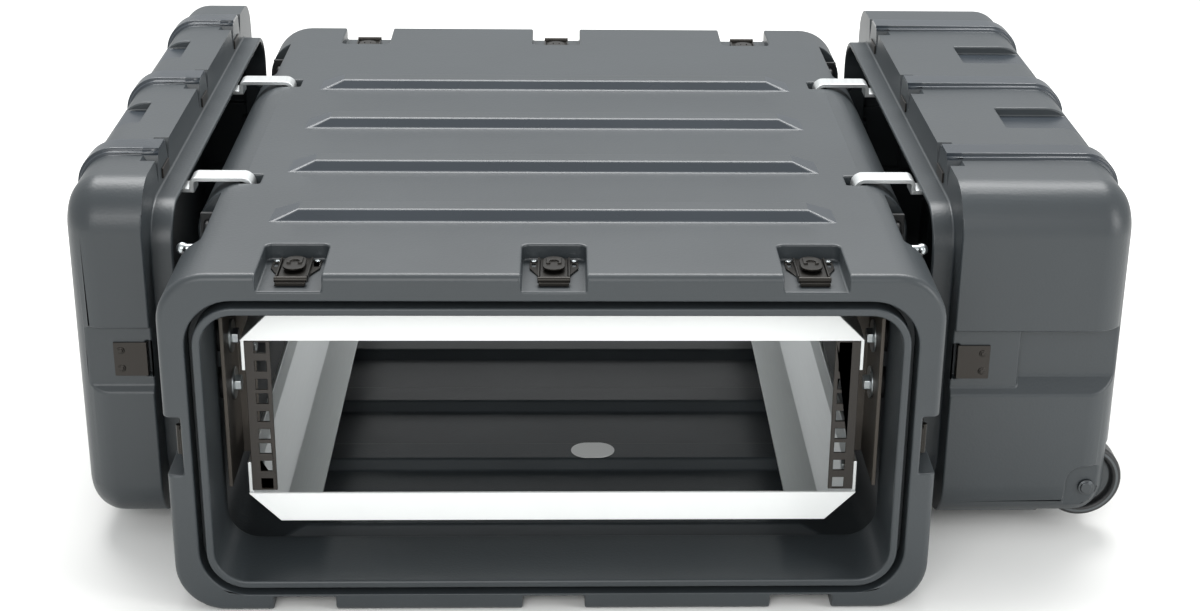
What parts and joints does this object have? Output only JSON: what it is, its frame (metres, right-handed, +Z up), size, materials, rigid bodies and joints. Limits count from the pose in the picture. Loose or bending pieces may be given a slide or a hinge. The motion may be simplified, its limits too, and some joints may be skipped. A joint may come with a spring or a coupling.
{
  "type": "equipment rack case",
  "caption": "Shock-mounted rack case: open-ended moulded body with a sprung rack frame, recessed latches, and two lids hung on its sides.",
  "frame": {"origin": "centre of the body's underside", "axes": "+Y from the front opening to the rear one, +X to the right, +Z up"},
  "size_m": [0.891, 0.729, 0.3245],
  "materials": {
    "polyethylene": "moulded, fine pebble grain",
    "seal_rubber": "soft matt",
    "black_zinc": "black zinc plated, semi-gloss",
    "zinc_steel": "bright zinc plated",
    "white_aluminium": "white satin powder coat",
    "mill_aluminium": "extruded, mill finish",
    "rail_steel": "dark bronze powder coat",
    "bracket_steel": "grey-brown passivated",
    "mount_rubber": "moulded rubber",
    "handle_black": "black, rubber grip",
    "label_white": "blank white film",
    "keeper_steel": "dark zinc plated",
    "wheel_rubber": "moulded tread on a grey hub",
    "axle_steel": "zinc plated"
  },
  "bodies": {
    "case": {"body_shell": "polyethylene", "mouth_gaskets": "seal_rubber", "latch_plates": "black_zinc", "latch_rivets": "zinc_steel", "rack_top_bars": "white_aluminium", "rack_bottom_bars": "white_aluminium", "upper_runners": "mill_aluminium", "lower_runners": "mill_aluminium", "rack_rails": "rail_steel", "frame_bolts": "zinc_steel", "wall_brackets": "bracket_steel", "rubber_mounts": "mount_rubber", "mount_bolts": "zinc_steel", "lid_hangers": "mill_aluminium", "handle_brackets": "handle_black", "dome_pegs": "zinc_steel", "floor_label": "label_white"},
    "front_lid": {"front_lid_shell": "polyethylene", "front_lid_keepers": "keeper_steel"},
    "rear_lid": {"rear_lid_shell": "polyethylene", "rear_lid_keepers": "keeper_steel", "wheel_axles": "axle_steel"},
    "wheel_near": {"wheel_near": "wheel_rubber"},
    "wheel_far": {"wheel_far": "wheel_rubber"},
    "handle_front_left": {"handle_front_left": "handle_black"},
    "handle_rear_left": {"handle_rear_left": "handle_black"},
    "handle_front_right": {"handle_front_right": "handle_black"},
    "handle_rear_right": {"handle_rear_right": "handle_black"},
    "latch_key_1": {"latch_key_1": "black_zinc"},
    "latch_hook_1": {"latch_hook_1": "black_zinc"},
    "latch_key_2": {"latch_key_2": "black_zinc"},
    "latch_hook_2": {"latch_hook_2": "black_zinc"},
    "latch_key_3": {"latch_key_3": "black_zinc"},
    "latch_hook_3": {"latch_hook_3": "black_zinc"},
    "latch_key_4": {"latch_key_4": "black_zinc"},
    "latch_hook_4": {"latch_hook_4": "black_zinc"},
    "latch_key_5": {"latch_key_5": "black_zinc"},
    "latch_hook_5": {"latch_hook_5": "black_zinc"},
    "latch_key_6": {"latch_key_6": "black_zinc"},
    "latch_hook_6": {"latch_hook_6": "black_zinc"},
    "latch_key_7": {"latch_key_7": "black_zinc"},
    "latch_hook_7": {"latch_hook_7": "black_zinc"},
    "latch_key_8": {"latch_key_8": "black_zinc"},
    "latch_hook_8": {"latch_hook_8": "black_zinc"},
    "latch_key_9": {"latch_key_9": "black_zinc"},
    "latch_hook_9": {"latch_hook_9": "black_zinc"},
    "latch_key_10": {"latch_key_10": "black_zinc"},
    "latch_hook_10": {"latch_hook_10": "black_zinc"},
    "latch_key_11": {"latch_key_11": "black_zinc"},
    "latch_hook_11": {"latch_hook_11": "black_zinc"},
    "latch_key_12": {"latch_key_12": "black_zinc"},
    "latch_hook_12": {"latch_hook_12": "black_zinc"},
    "latch_key_13": {"latch_key_13": "black_zinc"},
    "latch_hook_13": {"latch_hook_13": "black_zinc"},
    "latch_key_14": {"latch_key_14": "black_zinc"},
    "latch_hook_14": {"latch_hook_14": "black_zinc"},
    "latch_key_15": {"latch_key_15": "black_zinc"},
    "latch_hook_15": {"latch_hook_15": "black_zinc"},
    "latch_key_16": {"latch_key_16": "black_zinc"},
    "latch_hook_16": {"latch_hook_16": "black_zinc"}
  },
  "joints": [
    {"name": "front_lid_lift", "type": "slide", "parent": "case", "child": "front_lid", "axis": [0, 0, 1], "range_m": [0, 0.06]},
    {"name": "rear_lid_lift", "type": "slide", "parent": "case", "child": "rear_lid", "axis": [0, 0, 1], "range_m": [0, 0.06]},
    {"name": "wheel_near_spin", "type": "hinge", "parent": "rear_lid", "child": "wheel_near", "pos_m": [0.456, -0.22, 0.0515], "axis": [0, 1, 0], "continuous": true},
    {"name": "wheel_far_spin", "type": "hinge", "parent": "rear_lid", "child": "wheel_far", "pos_m": [0.456, 0.338, 0.0515], "axis": [0, 1, 0], "continuous": true},
    {"name": "handle_front_left_swing", "type": "hinge", "parent": "case", "child": "handle_front_left", "pos_m": [-0.291, -0.215, 0.264], "axis": [0, 1, 0], "range_deg": [0, 15]},
    {"name": "handle_rear_left_swing", "type": "hinge", "parent": "case", "child": "handle_rear_left", "pos_m": [-0.291, 0.248, 0.264], "axis": [0, 1, 0], "range_deg": [0, 85]},
    {"name": "handle_front_right_swing", "type": "hinge", "parent": "case", "child": "handle_front_right", "pos_m": [0.291, -0.215, 0.264], "axis": [0, -1, 0], "range_deg": [0, 15]},
    {"name": "handle_rear_right_swing", "type": "hinge", "parent": "case", "child": "handle_rear_right", "pos_m": [0.291, 0.248, 0.264], "axis": [0, -1, 0], "range_deg": [0, 85]},
    {"name": "latch_key_1_turn", "type": "hinge", "parent": "case", "child": "latch_key_1", "pos_m": [-0.2, -0.313, 0.2785], "axis": [0, 0, 1], "range_deg": [0, 180]},
    {"name": "latch_hook_1_draw", "type": "slide", "parent": "case", "child": "latch_hook_1", "axis": [0, -1, 0], "range_m": [0, 0.012]},
    {"name": "latch_key_2_turn", "type": "hinge", "parent": "case", "child": "latch_key_2", "pos_m": [0, -0.313, 0.2785], "axis": [0, 0, 1], "range_deg": [0, 180]},
    {"name": "latch_hook_2_draw", "type": "slide", "parent": "case", "child": "latch_hook_2", "axis": [0, -1, 0], "range_m": [0, 0.012]},
    {"name": "latch_key_3_turn", "type": "hinge", "parent": "case", "child": "latch_key_3", "pos_m": [0.2, -0.313, 0.2785], "axis": [0, 0, 1], "range_deg": [0, 180]},
    {"name": "latch_hook_3_draw", "type": "slide", "parent": "case", "child": "latch_hook_3", "axis": [0, -1, 0], "range_m": [0, 0.012]},
    {"name": "latch_key_4_turn", "type": "hinge", "parent": "case", "child": "latch_key_4", "pos_m": [-0.2, -0.313, 0.0135], "axis": [0, 0, -1], "range_deg": [0, 180]},
    {"name": "latch_hook_4_draw", "type": "slide", "parent": "case", "child": "latch_hook_4", "axis": [0, -1, 0], "range_m": [0, 0.012]},
    {"name": "latch_key_5_turn", "type": "hinge", "parent": "case", "child": "latch_key_5", "pos_m": [0, -0.313, 0.0135], "axis": [0, 0, -1], "range_deg": [0, 180]},
    {"name": "latch_hook_5_draw", "type": "slide", "parent": "case", "child": "latch_hook_5", "axis": [0, -1, 0], "range_m": [0, 0.012]},
    {"name": "latch_key_6_turn", "type": "hinge", "parent": "case", "child": "latch_key_6", "pos_m": [0.2, -0.313, 0.0135], "axis": [0, 0, -1], "range_deg": [0, 180]},
    {"name": "latch_hook_6_draw", "type": "slide", "parent": "case", "child": "latch_hook_6", "axis": [0, -1, 0], "range_m": [0, 0.012]},
    {"name": "latch_key_7_turn", "type": "hinge", "parent": "case", "child": "latch_key_7", "pos_m": [-0.2885, -0.313, 0.148], "axis": [-1, 0, 0], "range_deg": [0, 180]},
    {"name": "latch_hook_7_draw", "type": "slide", "parent": "case", "child": "latch_hook_7", "axis": [0, -1, 0], "range_m": [0, 0.012]},
    {"name": "latch_key_8_turn", "type": "hinge", "parent": "case", "child": "latch_key_8", "pos_m": [0.2885, -0.313, 0.148], "axis": [1, 0, 0], "range_deg": [0, 180]},
    {"name": "latch_hook_8_draw", "type": "slide", "parent": "case", "child": "latch_hook_8", "axis": [0, -1, 0], "range_m": [0, 0.012]},
    {"name": "latch_key_9_turn", "type": "hinge", "parent": "case", "child": "latch_key_9", "pos_m": [0.2, 0.313, 0.2785], "axis": [0, 0, 1], "range_deg": [0, 180]},
    {"name": "latch_hook_9_draw", "type": "slide", "parent": "case", "child": "latch_hook_9", "axis": [0, 1, 0], "range_m": [0, 0.012]},
    {"name": "latch_key_10_turn", "type": "hinge", "parent": "case", "child": "latch_key_10", "pos_m": [0, 0.313, 0.2785], "axis": [0, 0, 1], "range_deg": [0, 180]},
    {"name": "latch_hook_10_draw", "type": "slide", "parent": "case", "child": "latch_hook_10", "axis": [0, 1, 0], "range_m": [0, 0.012]},
    {"name": "latch_key_11_turn", "type": "hinge", "parent": "case", "child": "latch_key_11", "pos_m": [-0.2, 0.313, 0.2785], "axis": [0, 0, 1], "range_deg": [0, 180]},
    {"name": "latch_hook_11_draw", "type": "slide", "parent": "case", "child": "latch_hook_11", "axis": [0, 1, 0], "range_m": [0, 0.012]},
    {"name": "latch_key_12_turn", "type": "hinge", "parent": "case", "child": "latch_key_12", "pos_m": [0.2, 0.313, 0.0135], "axis": [0, 0, -1], "range_deg": [0, 180]},
    {"name": "latch_hook_12_draw", "type": "slide", "parent": "case", "child": "latch_hook_12", "axis": [0, 1, 0], "range_m": [0, 0.012]},
    {"name": "latch_key_13_turn", "type": "hinge", "parent": "case", "child": "latch_key_13", "pos_m": [0, 0.313, 0.0135], "axis": [0, 0, -1], "range_deg": [0, 180]},
    {"name": "latch_hook_13_draw", "type": "slide", "parent": "case", "child": "latch_hook_13", "axis": [0, 1, 0], "range_m": [0, 0.012]},
    {"name": "latch_key_14_turn", "type": "hinge", "parent": "case", "child": "latch_key_14", "pos_m": [-0.2, 0.313, 0.0135], "axis": [0, 0, -1], "range_deg": [0, 180]},
    {"name": "latch_hook_14_draw", "type": "slide", "parent": "case", "child": "latch_hook_14", "axis": [0, 1, 0], "range_m": [0, 0.012]},
    {"name": "latch_key_15_turn", "type": "hinge", "parent": "case", "child": "latch_key_15", "pos_m": [0.2885, 0.313, 0.148], "axis": [1, 0, 0], "range_deg": [0, 180]},
    {"name": "latch_hook_15_draw", "type": "slide", "parent": "case", "child": "latch_hook_15", "axis": [0, 1, 0], "range_m": [0, 0.012]},
    {"name": "latch_key_16_turn", "type": "hinge", "parent": "case", "child": "latch_key_16", "pos_m": [-0.2885, 0.313, 0.148], "axis": [-1, 0, 0], "range_deg": [0, 180]},
    {"name": "latch_hook_16_draw", "type": "slide", "parent": "case", "child": "latch_hook_16", "axis": [0, 1, 0], "range_m": [0, 0.012]}
  ],
  "couplings": [
    {"joint": "latch_key_1_turn", "follows": "latch_hook_1_draw", "rad_per_m": 261.8},
    {"joint": "latch_key_2_turn", "follows": "latch_hook_2_draw", "rad_per_m": 261.8},
    {"joint": "latch_key_3_turn", "follows": "latch_hook_3_draw", "rad_per_m": 261.8},
    {"joint": "latch_key_4_turn", "follows": "latch_hook_4_draw", "rad_per_m": 261.8},
    {"joint": "latch_key_5_turn", "follows": "latch_hook_5_draw", "rad_per_m": 261.8},
    {"joint": "latch_key_6_turn", "follows": "latch_hook_6_draw", "rad_per_m": 261.8},
    {"joint": "latch_key_7_turn", "follows": "latch_hook_7_draw", "rad_per_m": 261.8},
    {"joint": "latch_key_8_turn", "follows": "latch_hook_8_draw", "rad_per_m": 261.8},
    {"joint": "latch_key_9_turn", "follows": "latch_hook_9_draw", "rad_per_m": 261.8},
    {"joint": "latch_key_10_turn", "follows": "latch_hook_10_draw", "rad_per_m": 261.8},
    {"joint": "latch_key_11_turn", "follows": "latch_hook_11_draw", "rad_per_m": 261.8},
    {"joint": "latch_key_12_turn", "follows": "latch_hook_12_draw", "rad_per_m": 261.8},
    {"joint": "latch_key_13_turn", "follows": "latch_hook_13_draw", "rad_per_m": 261.8},
    {"joint": "latch_key_14_turn", "follows": "latch_hook_14_draw", "rad_per_m": 261.8},
    {"joint": "latch_key_15_turn", "follows": "latch_hook_15_draw", "rad_per_m": 261.8},
    {"joint": "latch_key_16_turn", "follows": "latch_hook_16_draw", "rad_per_m": 261.8}
  ]
}
